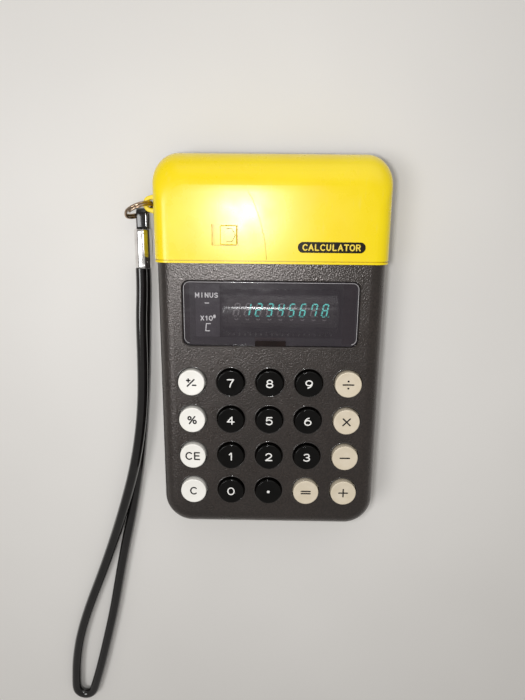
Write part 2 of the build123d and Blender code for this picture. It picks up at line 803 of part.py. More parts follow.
def main():
    os.makedirs("parts", exist_ok=True)
    write("front_case", front_case())
    write("rear_case", rear_case())
    write("top_cover", top_cover())
    write("battery_door", battery_door())
    write("rear_label", rear_label())
    write("case_screws", group(case_screws()))
    write("badge_plate", badge_plate())
    write("display_window", display_window())
    write("display_mask", display_mask())
    write("legend_strip", legend_strip())
    write("tube_cover_glass", tube_cover())
    write("tube_base_glass", tube_base())
    write("anode_plate", anode_plate())
    write("digit_grids", group(digit_grids()))
    write("filaments", group(filaments()))
    write("tube_leads", group(tube_leads()))
    for row, names in enumerate(key_names):
        for column, name in enumerate(names):
            write(name, key(*key_place(row, column)))
    write("contact_mat", contact_mat())
    write("main_board", main_board())
    write("board_screws", group(board_screws()))
    write("calculator_chip", calculator_chip())
    write("chip_pins", group(chip_pins()))
    write("transformer_core", transformer_core())
    write("transformer_winding", transformer_winding())
    write("electrolytic_capacitors", group(electrolytic_capacitors()))
    write("resistors", group(resistors()))
    write("transistors", group(transistors()))
    write("battery_cradle", battery_cradle())
    write("cell_1", cell(cell_ys[0], 1))
    write("cell_2", cell(cell_ys[1], -1))
    write("positive_contact", positive_contact())
    write("negative_contact", negative_contact())
    write("link_contact", link_contact())
    write("supply_wires", group(supply_wires()))
    write("switch_board", switch_board())
    write("switch_knob", switch_knob())
    write("switch_wiper", switch_wiper())
    write("split_ring", split_ring())
    write("strap_tab", strap_tab())
    write("strap_ferrule", strap_ferrule())
    write("strap_cord", strap_cord())


main()
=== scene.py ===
"""Looks of a pocket calculator: yellow cover, twenty keys, a lit tube display and a wrist strap.

Metres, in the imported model's frame: the calculator lies on its back, +Z points out of the
keyboard, +Y towards the yellow cover and +X to the user's right.
"""
from functools import partial
from math import copysign, cos, hypot, pi, radians, sin, sqrt

import bmesh
import bpy
from mathutils import Matrix, Vector


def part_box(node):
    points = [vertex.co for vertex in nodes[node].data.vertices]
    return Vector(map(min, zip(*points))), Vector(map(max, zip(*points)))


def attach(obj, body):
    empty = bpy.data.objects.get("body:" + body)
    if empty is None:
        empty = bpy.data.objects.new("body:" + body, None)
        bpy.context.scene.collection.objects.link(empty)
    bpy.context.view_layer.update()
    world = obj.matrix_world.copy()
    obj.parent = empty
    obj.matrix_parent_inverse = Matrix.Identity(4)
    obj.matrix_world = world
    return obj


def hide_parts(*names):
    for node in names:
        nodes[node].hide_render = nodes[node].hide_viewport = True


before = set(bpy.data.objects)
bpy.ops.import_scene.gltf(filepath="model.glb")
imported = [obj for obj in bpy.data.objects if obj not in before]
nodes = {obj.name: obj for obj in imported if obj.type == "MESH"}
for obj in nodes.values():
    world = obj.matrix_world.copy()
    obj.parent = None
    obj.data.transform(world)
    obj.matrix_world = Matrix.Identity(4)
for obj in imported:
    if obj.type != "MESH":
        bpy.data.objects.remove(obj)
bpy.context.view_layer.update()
MM = 0.001

# -------- sizes
STRAP_DIAMETER = 0.0044

# The strap's middle line, out of the sleeve along its upper strand and back along its lower one.
STRAP_ROUTE = [
    (-0.0511, 0.0304, 0.0067), (-0.0511, 0.0228, 0.0067), (-0.0521, 0.0095, 0.00675),
    (-0.0522, -0.008, 0.00675), (-0.0529, -0.025, 0.00675), (-0.0549, -0.041, 0.00675),
    (-0.0582, -0.057, 0.00675), (-0.0633, -0.074, 0.0054), (-0.0696, -0.0925, 0.0029),
    (-0.0766, -0.1115, 0.0023), (-0.0836, -0.129, 0.0023), (-0.089, -0.1455, 0.0023),
    (-0.0917, -0.1595, 0.0023), (-0.0926, -0.17, 0.0023), (-0.0929, -0.1762, 0.0023),
    (-0.0908, -0.1788, 0.0023), (-0.0876, -0.1794, 0.0023), (-0.0847, -0.1777, 0.0023),
    (-0.0828, -0.1718, 0.0023), (-0.0799, -0.162, 0.0023), (-0.0759, -0.1465, 0.0023),
    (-0.0718, -0.13, 0.0023), (-0.0683, -0.1125, 0.0023), (-0.0646, -0.095, 0.0023),
    (-0.0606, -0.0775, 0.0023), (-0.0573, -0.0595, 0.0023), (-0.0548, -0.0415, 0.0023),
    (-0.053, -0.0235, 0.0023), (-0.0519, -0.0055, 0.0023), (-0.0512, 0.0105, 0.0023),
    (-0.0505, 0.0226, 0.0023), (-0.0505, 0.0304, 0.0023),
]

LUG_HOLE = Vector((-0.0452, 0.05485, 0.010))
RING_RADIUS = 0.0054
RING_WIRE = 0.0005
RING_YAW = radians(24.0)
RING_LEAN = radians(14.0)

DIGIT_COUNT = 9
DIGIT_PITCH = 0.00426
FIRST_DIGIT_X = -0.01315
DIGIT_Y = 0.01575
DIGIT_SHEAR = 0.19
DIGIT_HALF_WIDTH = 0.00092
DIGIT_HALF_HEIGHT = 0.00238
SEGMENT_HALF_WIDTH = 0.00027


# -------- mesh helpers
def in_scene(name, data):
    """An object made of that data."""
    made = bpy.data.objects.new(name, data)
    bpy.context.scene.collection.objects.link(made)
    return made


def plain_form(name, bm):
    """An object made of a bmesh, which is used up."""
    bmesh.ops.recalc_face_normals(bm, faces=bm.faces)
    mesh = bpy.data.meshes.new(name)
    bm.to_mesh(mesh)
    bm.free()
    return in_scene(name, mesh)


def make_object(name, bm, shader, body, smooth=True):
    """A finished mesh object that rides on a body."""
    piece = plain_form(name, bm)
    for polygon in piece.data.polygons:
        polygon.use_smooth = smooth
    piece.data.materials.append(shader.material)
    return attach(piece, body)


def skin(bm, rings, closed=False):
    """Faces between loops of points with the same count, with both ends capped or joined up."""
    loops = [[bm.verts.new(point) for point in ring] for ring in rings]
    count = len(loops[0])
    for low, high in zip(loops, loops[1:] + (loops[:1] if closed else [])):
        for k in range(count):
            n = (k + 1) % count
            bm.faces.new((low[k], low[n], high[n], high[k]))
    if not closed:
        bm.faces.new(loops[0])
        bm.faces.new(loops[-1])


def sweep(bm, path, section, start_side):
    """A section of (side, up) offsets carried along a path without twisting."""
    rings = []
    side = Vector(start_side)
    for before, point, after in zip(path[:1] + path, path, path[1:] + path[-1:]):
        along = (after - before).normalized()
        side = (side - along * side.dot(along)).normalized()
        up = along.cross(side)
        rings.append([point + side * a + up * b for a, b in section])
    skin(bm, rings)


def round_section(radius_a, radius_b, count, power):
    """An ellipse, or a squarer oval when power is above 2."""
    angles = [2 * pi * k / count for k in range(count)]
    return [(radius_a * copysign(abs(cos(a)) ** (2 / power), cos(a)),
             radius_b * copysign(abs(sin(a)) ** (2 / power), sin(a))) for a in angles]


def arc(x, y, rx, ry, start, end, steps):
    """Points on an ellipse between two angles in degrees."""
    angles = [radians(start + (end - start) * k / steps) for k in range(steps + 1)]
    return [(x + rx * cos(a), y + ry * sin(a)) for a in angles]


def rectangle(x0, x1, y0, y1):
    return [(x0, y0), (x1, y0), (x1, y1), (x0, y1)]


def rounded(x0, x1, y0, y1, corner, open_by=0):
    """A rectangle with round corners, whose outline opens by some degrees at either end of its foot."""
    left, right, foot, top = x0 + corner, x1 - corner, y0 + corner, y1 - corner
    corners = ((right, foot, 270 + open_by, 360), (right, top, 0, 90), (left, top, 90, 180),
               (left, foot, 180, 270 - open_by))
    return [point for x, y, start, end in corners for point in arc(x, y, corner, corner, start, end, 12)]


def plate(bm, outline, low_z, high_z):
    """A flat prism on an outline."""
    skin(bm, [[Vector((x, y, z)) for x, y in outline] for z in (low_z, high_z)])


def level(z):
    """The height of a flat surface, at any point."""
    return lambda x, y: z


def middle_of(node):
    low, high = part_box(node)
    return (low + high) / 2


def surface_height(node, x, y):
    """Height of a CAD node's upper surface over a point."""
    hit, place, _, _ = nodes[node].ray_cast(Vector((x, y, 1.0)), Vector((0, 0, -1)))
    if not hit:
        raise ValueError(f"{node} has no surface at {x:.4f}, {y:.4f}")
    return place.z


# -------- drawn strokes
SECTION_STEPS = (-1.0, -0.86, -0.5, 0.0, 0.5, 0.86, 1.0)
CAP_ANGLES = [radians(angle) for angle in (85, 60, 30)]
STROKE_SINK = 0.02 * MM
STROKE_STEP = 0.4 * MM
SHARP_TURN = radians(35)


def ribbon(bm, points, half_width, rise, height_at):
    """A low printed line with round ends along (x, y) points, on a surface of that height."""
    flat = [Vector((x, y)) for x, y in points]
    loop = (flat[0] - flat[-1]).length < 1e-6
    if loop:
        flat = flat[:-1]
    first, last = (flat[-1:], flat[:1]) if loop else (flat[:1], flat[-1:])
    stations = [(point, (after - before).normalized(), 1.0)
                for before, point, after in zip(first + flat, flat, flat[1:] + last)]
    if not loop:
        head, tail = [[(place + along * way * half_width * sin(a), along, cos(a)) for a in CAP_ANGLES]
                      for (place, along, _), way in ((stations[0], -1), (stations[-1], 1))]
        stations = head + stations + tail[::-1]
    rings = []
    for point, along, share in stations:
        across = Vector((-along.y, along.x)) * half_width * share
        ring = []
        for step in SECTION_STEPS:
            place = point + across * step
            bulge = (1 - step ** 4) ** 0.25 * share ** 0.5
            lift = (rise + STROKE_SINK) * bulge - STROKE_SINK
            ring.append(Vector((place.x, place.y, height_at(place.x, place.y) + lift)))
        rings.append(ring)
    skin(bm, rings, closed=loop)


def runs_of(points):
    """The smooth runs of a line, split where it turns sharply."""
    runs = [[points[0]]]
    for before, here, after in zip(points, points[1:], points[2:]):
        runs[-1].append(here)
        turn = (Vector(here) - Vector(before)).angle(Vector(after) - Vector(here), 0.0)
        if turn > SHARP_TURN:
            runs.append([here])
    runs[-1].append(points[-1])
    return runs


def finer(points, step):
    """The same line with points at most a step apart."""
    out = [points[0]]
    for (x0, y0), (x1, y1) in zip(points, points[1:]):
        pieces = max(1, round(hypot(x1 - x0, y1 - y0) / step))
        out += [(x0 + (x1 - x0) * k / pieces, y0 + (y1 - y0) * k / pieces) for k in range(1, pieces + 1)]
    return out


def draw(bm, lines, half_width, rise, height_at, step=STROKE_STEP):
    """Printed lines, each broken where it turns sharply."""
    for line in lines:
        for run in runs_of(line):
            ribbon(bm, finer(run, step), half_width, rise, height_at)


# Plain strokes in a box one unit high and centred on zero.
GLYPHS = {
    "0": [arc(0, 0, 0.43, 0.5, 0, 360, 32)],
    "1": [[(-0.2, 0.27), (0.07, 0.5), (0.07, -0.5)]],
    "2": [arc(-0.01, 0.2, 0.38, 0.3, 165, -38, 16) + [(-0.4, -0.5), (0.42, -0.5)]],
    "3": [arc(-0.03, 0.25, 0.34, 0.25, 150, -90, 16), arc(-0.03, -0.24, 0.4, 0.26, 90, -150, 18)],
    "4": [[(0.17, -0.5), (0.17, 0.5), (-0.44, -0.2), (0.44, -0.2)]],
    "5": [[(0.34, 0.5), (-0.3, 0.5), (-0.36, 0.03)] + arc(-0.02, -0.17, 0.4, 0.33, 140, -145, 18)],
    "6": [arc(0, -0.17, 0.41, 0.33, 0, 360, 28), arc(0.32, -0.14, 0.73, 0.66, 175, 105, 10)],
    "7": [[(-0.4, 0.5), (0.4, 0.5), (0.16, 0.14), (0.0, -0.18), (-0.08, -0.5)]],
    "8": [arc(0, 0.255, 0.33, 0.245, 0, 360, 26), arc(0, -0.235, 0.4, 0.265, 0, 360, 28)],
    "9": [arc(0, 0.17, 0.41, 0.33, 0, 360, 28), arc(-0.32, 0.14, 0.73, 0.66, -5, -75, 10)],
    "A": [[(-0.42, -0.5), (0, 0.5), (0.42, -0.5)], [(-0.27, -0.16), (0.27, -0.16)]],
    "C": [arc(0.03, 0, 0.46, 0.5, 48, 312, 26)],
    "E": [[(0.34, 0.5), (-0.34, 0.5), (-0.34, -0.5), (0.34, -0.5)], [(-0.34, 0.02), (0.26, 0.02)]],
    "I": [[(0, 0.5), (0, -0.5)]],
    "L": [[(-0.3, 0.5), (-0.3, -0.5), (0.32, -0.5)]],
    "M": [[(-0.42, -0.5), (-0.42, 0.5), (0, -0.25), (0.42, 0.5), (0.42, -0.5)]],
    "N": [[(-0.36, -0.5), (-0.36, 0.5), (0.36, -0.5), (0.36, 0.5)]],
    "O": [arc(0, 0, 0.45, 0.5, 0, 360, 30)],
    "R": [[(-0.34, -0.5), (-0.34, 0.5), (0.08, 0.5)] + arc(0.08, 0.24, 0.27, 0.26, 90, -90, 12)
          + [(-0.34, -0.02)], [(0.06, -0.02), (0.38, -0.5)]],
    "S": [arc(0, 0.26, 0.33, 0.24, 30, 270, 16) + arc(0, -0.25, 0.36, 0.25, 90, -150, 16)],
    "T": [[(-0.4, 0.5), (0.4, 0.5)], [(0, 0.5), (0, -0.5)]],
    "U": [[(-0.36, 0.5), (-0.36, -0.12)] + arc(0, -0.12, 0.36, 0.38, 180, 360, 14) + [(0.36, 0.5)]],
    "X": [[(-0.36, 0.5), (0.36, -0.5)], [(-0.36, -0.5), (0.36, 0.5)]],
}


def placed(lines, x, y, width, height):
    """Glyph lines at a size and place."""
    return [[(x + px * width, y + py * height) for px, py in line] for line in lines]


def word(text, x, y, pitch, width, height):
    """A row of glyphs centred on a point."""
    lines = []
    for index, letter in enumerate(text):
        place = x + (index - (len(text) - 1) / 2) * pitch
        lines += placed(GLYPHS[letter], place, y, width, height)
    return lines


# -------- materials
# A colour Mix node's factor, A and B inputs, and its colour output.
MIX_INPUTS = (0, 6, 7)
MIX_OUTPUT = 2


class Shader:
    """A node material being built. Places are the object's own coordinates, in metres."""

    def __init__(self, name):
        self.material = bpy.data.materials.new(name)
        self.material.use_nodes = True
        self.tree = self.material.node_tree
        self.surface = self.tree.nodes["Principled BSDF"]
        self.place = self.node("ShaderNodeTexCoord").outputs["Object"]

    def node(self, kind, **settings):
        made = self.tree.nodes.new(kind)
        for key, value in settings.items():
            setattr(made, key, value)
        return made

    def feed(self, source, target):
        """Link a socket, or set a number, a vector or a colour."""
        if isinstance(source, bpy.types.NodeSocket):
            self.tree.links.new(source, target)
        else:
            target.default_value = (*source, 1) if target.type == "RGBA" else source

    def fill(self, made, **values):
        """A node with its inputs fed by name."""
        for key, value in values.items():
            self.feed(value, made.inputs[key.replace("_", " ")])
        return made

    def constant(self, **values):
        """Values that are the same all over, on the shader's own sockets."""
        self.fill(self.surface, **values)

    def noise(self, size, detail=3.0, stretch=None):
        """Noise whose features are about that many metres across."""
        made = self.node("ShaderNodeTexNoise")
        place = self.place
        if stretch:
            mapping = self.fill(self.node("ShaderNodeMapping"), Vector=place, Scale=stretch)
            place = mapping.outputs["Vector"]
        return self.fill(made, Vector=place, Scale=1 / size, Detail=detail).outputs["Fac"]

    def pits(self, size):
        """Cell distances, for a sparked or beaded grain."""
        made = self.node("ShaderNodeTexVoronoi", feature="SMOOTH_F1")
        return self.fill(made, Vector=self.place, Scale=1 / size).outputs["Distance"]

    def bands(self, direction, scale, distortion):
        """Wavy bands across a direction."""
        made = self.node("ShaderNodeTexWave", wave_type="BANDS", bands_direction=direction)
        return self.fill(made, Vector=self.place, Scale=scale, Distortion=distortion).outputs["Fac"]

    def spread(self, factor, low, high, start=0.3, end=0.7):
        """A factor from start to end mapped to values from low to high."""
        made = self.node("ShaderNodeMapRange")
        self.fill(made, Value=factor, From_Min=start, From_Max=end, To_Min=low, To_Max=high)
        return made.outputs["Result"]

    def tint(self, factor, low, high, start=0.3, end=0.7):
        """A colour between two, by a factor."""
        made = self.fill(self.node("ShaderNodeValToRGB"), Fac=factor)
        for stop, position, colour in zip(made.color_ramp.elements, (start, end), (low, high)):
            stop.position = position
            stop.color = (*colour, 1)
        return made.outputs["Color"]

    def mix(self, factor, first, second):
        made = self.node("ShaderNodeMix", data_type="RGBA")
        for source, target in zip((factor, first, second), MIX_INPUTS):
            self.feed(source, made.inputs[target])
        return made.outputs[MIX_OUTPUT]

    def math(self, operation, a, b=0.0):
        made = self.node("ShaderNodeMath", operation=operation)
        for source, target in zip((a, b), made.inputs):
            self.feed(source, target)
        return made.outputs[0]

    def times(self, a, b):
        return self.math("MULTIPLY", a, b)

    def minus(self, a, b):
        return self.math("SUBTRACT", a, b)

    def axes(self):
        return self.fill(self.node("ShaderNodeSeparateXYZ"), Vector=self.place).outputs

    def inside(self, axis, low, high, edge=0.0001):
        """One between two places on an axis, with soft edges."""
        rise = self.spread(axis, 0.0, 1.0, low - edge, low + edge)
        fall = self.spread(axis, 1.0, 0.0, high - edge, high + edge)
        return self.times(rise, fall)

    def in_box(self, x0, x1, y0, y1, edge=0.0001):
        """One inside a rectangle in plan, with soft edges."""
        x, y, _ = self.axes()
        return self.times(self.inside(x, x0, x1, edge), self.inside(y, y0, y1, edge))

    def base(self):
        """What feeds the colour so far."""
        return self.surface.inputs["Base Color"].links[0].from_socket

    def colour(self, source):
        self.fill(self.surface, Base_Color=source)

    def roughness(self, source):
        self.fill(self.surface, Roughness=source)

    def relief(self, height, depth, strength=1.0):
        """Surface relief of about that many metres."""
        made = self.fill(self.node("ShaderNodeBump"), Strength=strength, Distance=depth, Height=height)
        for link in self.surface.inputs["Normal"].links:
            self.fill(made, Normal=link.from_socket)
        self.fill(self.surface, Normal=made.outputs["Normal"])


def plastic(name, low, high, rough=(0.3, 0.4), patch=0.012, grain=0.0004, depth=1e-5, **constants):
    """Moulded plastic: slow colour drift, uneven gloss and a fine skin."""
    shader = Shader(name)
    shader.colour(shader.tint(shader.noise(patch), low, high))
    shader.roughness(shader.spread(shader.noise(patch * 0.4, 5), *rough))
    shader.relief(shader.noise(grain, 2), depth)
    shader.constant(**constants)
    return shader


def metal(name, low, high, rough=(0.15, 0.35), stretch=(1, 1, 1), patch=0.003):
    """Metal with tarnish in patches and a fine grain, which a stretch draws out into brushed lines."""
    shader = Shader(name)
    grain = 0.0002
    shader.colour(shader.tint(shader.noise(patch, 4), low, high))
    shader.roughness(shader.spread(shader.noise(grain, 3, stretch), *rough))
    shader.relief(shader.noise(grain, 2, stretch), 4e-6)
    shader.constant(Metallic=1.0)
    return shader


def yellow_cover_material():
    """Glossy yellow plastic with scuffs, painted shade in the groove and one hairline crack down the face."""
    shader = plastic("yellow_gloss_plastic", (0.97, 0.72, 0.0005), (1.0, 0.79, 0.001), (0.25, 0.33),
                     patch=0.02, grain=0.0012, depth=6e-6, Coat_Weight=0.25, Coat_Roughness=0.22)
    x, y, z = shader.axes()
    foot_x, foot_y, height, drift = -1.9 * MM, 35.3 * MM, 24.3 * MM, 6.6 * MM
    up = shader.math("DIVIDE", shader.minus(y, foot_y), height)
    bend = shader.times(shader.times(up, up), -drift)
    wander = shader.spread(shader.noise(0.004, 2), -0.2 * MM, 0.2 * MM)
    line_x = shader.math("ADD", shader.math("ADD", bend, foot_x), wander)
    away = shader.math("ABSOLUTE", shader.minus(x, line_x))
    line = shader.spread(away, 1.0, 0.0, 0.03 * MM, 0.14 * MM)
    along = shader.inside(up, 0.0, 1.0, 0.02)
    on_face = shader.inside(z, 20 * MM, 30 * MM, 0.5 * MM)
    crack = shader.times(shader.times(line, along), on_face)
    base = shader.base()
    scuffs = shader.spread(shader.noise(0.0009, 4, stretch=(1, 0.12, 1)), 0.0, 0.25, 0.62, 0.72)
    scuffs_and_groove_shade = shader.mix(scuffs, base, (0.95, 0.78, 0.12))
    # Painted shade: a darker band along the groove behind the bead, standing in for the shade inside the
    # groove.
    groove_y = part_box("top_cover")[0].y + BEAD_WIDTH
    groove_painted_shade = shader.times(shader.inside(y, groove_y, groove_y + GROOVE_WIDTH, 6e-5), 0.4)
    scuffs_and_groove_shade = shader.mix(groove_painted_shade, scuffs_and_groove_shade, (0.36, 0.26, 0.002))
    shader.colour(shader.mix(shader.times(crack, 0.75), scuffs_and_groove_shade, (0.38, 0.27, 0.0)))
    shader.relief(shader.minus(1.0, crack), 6e-5, 0.8)
    return shader


def black_case_material():
    """Black-brown plastic with a fine sparked grain, its peaks painted paler than its pits as a painted
    sparkle highlight.
    """
    shader = Shader("black_grained_plastic")
    grain = shader.pits(0.00056)
    fine = shader.noise(0.0003, 2)
    drift = shader.tint(shader.noise(0.02, 4), (0.0030, 0.0021, 0.0018), (0.0060, 0.0041, 0.0034))
    # Painted highlight: the grain's peaks get a paler colour than its pits, standing in for light sparkling
    # on them.
    painted_sparkle_peaks = shader.tint(shader.noise(0.02, 4), (0.016, 0.012, 0.010), (0.026, 0.019, 0.016))
    shader.colour(shader.mix(shader.spread(grain, 0.0, 1.0, 0.18, 0.55), drift, painted_sparkle_peaks))
    height = shader.math("ADD", grain, shader.times(fine, 0.6))
    shader.roughness(shader.spread(shader.noise(0.006, 4), 0.26, 0.33))
    shader.relief(height, 0.00011, 0.9)
    shader.constant(Specular_IOR_Level=1.0, Specular_Tint=(1.0, 0.93, 0.90))
    return shader


def key_material(name, low, high, rough, **constants):
    return plastic(name, low, high, rough, patch=0.004, grain=0.0007, depth=5e-6, **constants)


def window_material():
    """Smoked acrylic, tinted and polished, with faint wipe marks."""
    shader = Shader("smoked_acrylic")
    shader.colour(shader.tint(shader.noise(0.015), (0.045, 0.036, 0.046), (0.065, 0.052, 0.065)))
    wipes = shader.noise(0.0016, 5, stretch=(0.35, 1, 1))
    shader.roughness(shader.spread(wipes, 0.18, 0.28, 0.45, 0.75))
    shader.constant(Alpha=0.34, Specular_IOR_Level=1.0)
    return shader


def glass_material():
    """Thin drawn glass: light passes straight through it and its shine runs along X."""
    shader = Shader("tube_drawn_glass")
    shader.colour(shader.tint(shader.noise(0.004), (0.060, 0.056, 0.062), (0.090, 0.085, 0.092)))
    shader.roughness(shader.spread(shader.noise(0.003, 2), 0.17, 0.21))
    shader.relief(shader.noise(0.0012, 1, stretch=(0.15, 1, 1)), 2e-6)
    around = shader.node("ShaderNodeTangent", direction_type="RADIAL", axis="X")
    shader.fill(shader.surface, Tangent=around.outputs["Tangent"])
    shader.constant(Anisotropic=0.9, Anisotropic_Rotation=0.25, Alpha=0.45, IOR=2.1,
                    Specular_IOR_Level=1.0)
    return shader


def mask_material():
    """Matt black printed sheet, with a brown patch under the middle of the window."""
    shader = plastic("mask_black_sheet", (0.012, 0.011, 0.014), (0.022, 0.020, 0.025), (0.5, 0.65),
                     patch=0.006, grain=0.0002, depth=8e-6)
    patch = shader.in_box(-5.9 * MM, 5.9 * MM, 3.1 * MM, 6.0 * MM)
    shader.colour(shader.mix(patch, shader.base(), (0.030, 0.010, 0.006)))
    return shader


def glow_material(name, low, high, strength):
    """Phosphor: bright, slightly uneven along each bar. Also gives the painted glow of the unlit bars and of
    the printed indicator ink.
    """
    shader = Shader(name)
    light = shader.tint(shader.noise(0.0008, 3), low, high)
    shader.colour(light)
    shader.fill(shader.surface, Emission_Color=light)
    shader.roughness(shader.spread(shader.noise(0.0004), 0.5, 0.7))
    shader.constant(Emission_Strength=strength)
    return shader


def board_material():
    """Brown laminate with copper tracks under lacquer, masked black round the display."""
    shader = Shader("board_laminate_lacquered")
    weave = shader.noise(0.0006, 2, stretch=(1, 3, 1))
    base = shader.tint(weave, (0.10, 0.065, 0.02), (0.17, 0.115, 0.04))
    tracks = shader.spread(shader.bands("DIAGONAL", 60.0, 6.0), 0.0, 1.0, 0.55, 0.6)
    printed = shader.inside(shader.axes()[1], 3.5 * MM, 31 * MM, 0.4 * MM)
    bare = shader.mix(tracks, base, (0.42, 0.23, 0.06))
    shader.colour(shader.mix(printed, bare, (0.014, 0.011, 0.012)))
    shader.roughness(shader.spread(tracks, 0.45, 0.3, 0.0, 1.0))
    shader.relief(tracks, 4e-5)
    return shader


def banded_material(name, body, stripe, axis, centre, reach, rough=0.4):
    """A sleeve or body in two colours: the stripe lies within reach of a place on one axis."""
    shader = Shader(name)
    away = shader.math("ABSOLUTE", shader.minus(shader.axes()[axis], centre))
    mask = shader.spread(away, 1.0, 0.0, reach - 0.0001, reach + 0.0001)
    drift = shader.tint(shader.noise(0.003), tuple(c * 0.85 for c in body), body)
    shader.colour(shader.mix(mask, drift, stripe))
    shader.roughness(shader.spread(shader.noise(0.001, 4), rough - 0.08, rough + 0.08))
    shader.relief(shader.noise(0.0008, 2), 6e-6)
    return shader


def label_material():
    """Brushed foil with a printed dark border."""
    shader = metal("label_brushed_foil", (0.40, 0.40, 0.41), (0.58, 0.58, 0.58), (0.28, 0.5),
                   stretch=(0.05, 1, 1))
    low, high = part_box("rear_label")
    margin, line = 1.3 * MM, 0.3 * MM
    outer, inner = [shader.in_box(low.x + by, high.x - by, low.y + by, high.y - by, 0.03 * MM)
                    for by in (margin, margin + line)]
    shader.colour(shader.mix(shader.minus(outer, inner), shader.base(), (0.015, 0.015, 0.015)))
    return shader


def winding_material():
    """Enamelled copper wire, turn beside turn."""
    shader = Shader("winding_enamelled_copper")
    turns = shader.bands("Y", 900.0, 0.6)
    shader.colour(shader.tint(turns, (0.20, 0.06, 0.02), (0.62, 0.24, 0.09), 0.2, 0.8))
    shader.roughness(shader.spread(turns, 0.4, 0.25, 0.0, 1.0))
    shader.relief(turns, 6e-5)
    shader.constant(Metallic=0.8)
    return shader


def dress(shader, *names):
    """The CAD nodes of those names take a material."""
    for name in names:
        for holder in nodes[name].material_slots:
            holder.material = shader.material


# -------- camera and strap
def make_camera():
    """A short lens above the keyboard, level with the cover and leaning towards the strap's end."""
    data = bpy.data.cameras.new("studio_camera")
    data.lens = 28.8
    data.sensor_width = 36.0
    data.clip_start = 0.01
    camera = in_scene("studio_camera", data)
    backward = Vector((0.0128, 0.2465, 0.9691)).normalized()
    right = Vector((-0.0131, 0.9691, -0.2464)).cross(backward).normalized()
    up = backward.cross(right)
    turn = Matrix((right, up, backward)).transposed().to_4x4()
    camera.matrix_world = Matrix.Translation((-0.0002, 0.05395, 0.2273)) @ turn
    bpy.context.scene.camera = camera


def vinyl_material():
    """Glossy black vinyl, faintly uneven under its shine."""
    return plastic("strap_black_vinyl", (0.0035, 0.003, 0.0032), (0.008, 0.007, 0.007), (0.12, 0.18),
                   patch=0.006, grain=0.003, depth=4e-6, Specular_IOR_Level=0.3,
                   Coat_Weight=1.0, Coat_Roughness=0.07)


def strap_cord_piece(shader):
    """The cord, as a smooth curve along the route."""
    curve = bpy.data.curves.new("wrist_strap_vinyl_cord", "CURVE")
    curve.dimensions = "3D"
    spline = curve.splines.new("NURBS")
    spline.points.add(len(STRAP_ROUTE) - 1)
    for point, place in zip(spline.points, STRAP_ROUTE):
        point.co = (*place, 1.0)
    spline.order_u = 3
    spline.use_endpoint_u = True
    spline.use_smooth = True
    curve.resolution_u = 10
    curve.bevel_depth = STRAP_DIAMETER / 2
    curve.bevel_resolution = 7
    curve.use_fill_caps = True
    curve.materials.append(shader.material)
    piece = in_scene("wrist_strap_vinyl_cord", curve)
    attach(piece, "wrist_strap")
    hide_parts("strap_cord")
    return piece


def strap_tab_piece(shader):
    """A flat vinyl band folded over the ring and pushed into the sleeve."""
    low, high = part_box("strap_tab")
    middle = (low + high) / 2
    thickness = 1.65 * MM
    fold_radius = (high.z - low.z - thickness) / 2
    fold_y = high.y - (high.z - low.z) / 2
    foot_y = low.y + 0.1 * MM
    straight = [foot_y + (fold_y - foot_y) * k / 6 for k in range(6)]
    line = [(y, middle.z + fold_radius) for y in straight]
    line += arc(fold_y, middle.z, fold_radius, fold_radius, 90, -90, 16)
    line += [(y, middle.z - fold_radius) for y in reversed(straight)]
    path = [Vector((middle.x, y, z)) for y, z in line]
    bm = bmesh.new()
    sweep(bm, path, round_section((high.x - low.x) / 2, thickness / 2, 28, 4.5), (1, 0, 0))
    piece = make_object("strap_folded_tab", bm, shader, "wrist_strap")
    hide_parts("strap_tab")
    return piece


def strap_ferrule_piece(shader):
    """A pressed eight-sided sleeve with rounded corners and rolled lips."""
    low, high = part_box("strap_ferrule")
    middle = (low + high) / 2
    half_x, half_z = (high.x - low.x) / 2, (high.z - low.z) / 2
    flat, ease = 1.7 * MM, 0.45 * MM
    right = [(half_x - flat, half_z), (half_x, half_z - flat), (half_x, flat - half_z),
             (half_x - flat, -half_z)]
    corners = [Vector(corner) for corner in right + [(-x, z) for x, z in reversed(right)]]
    outline = []
    for before, here, after in zip(corners[-1:] + corners, corners, corners[1:] + corners[:1]):
        start = here + (before - here).normalized() * ease
        end = here + (after - here).normalized() * ease
        for share in (0, 0.25, 0.5, 0.75, 1):
            outline.append(start.lerp(here, share).lerp(here.lerp(end, share), share))
    # From a lip inwards: millimetres from the end, and the share of the full section.
    lip = [(0.2, 0.86), (0.0, 0.88), (-0.03, 0.93), (0.08, 0.975), (0.4, 1.0), (1.3, 1.0), (1.8, 0.985),
           (2.3, 1.0)]
    stations = [(low.y + inward * MM, share) for inward, share in lip]
    stations += [(high.y - inward * MM, share) for inward, share in reversed(lip)]
    rings = [[Vector((middle.x + p.x * share, y, middle.z + p.y * share)) for p in outline]
             for y, share in stations]
    bm = bmesh.new()
    skin(bm, rings)
    piece = make_object("strap_crimped_sleeve", bm, shader, "wrist_strap")
    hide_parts("strap_ferrule")
    return piece


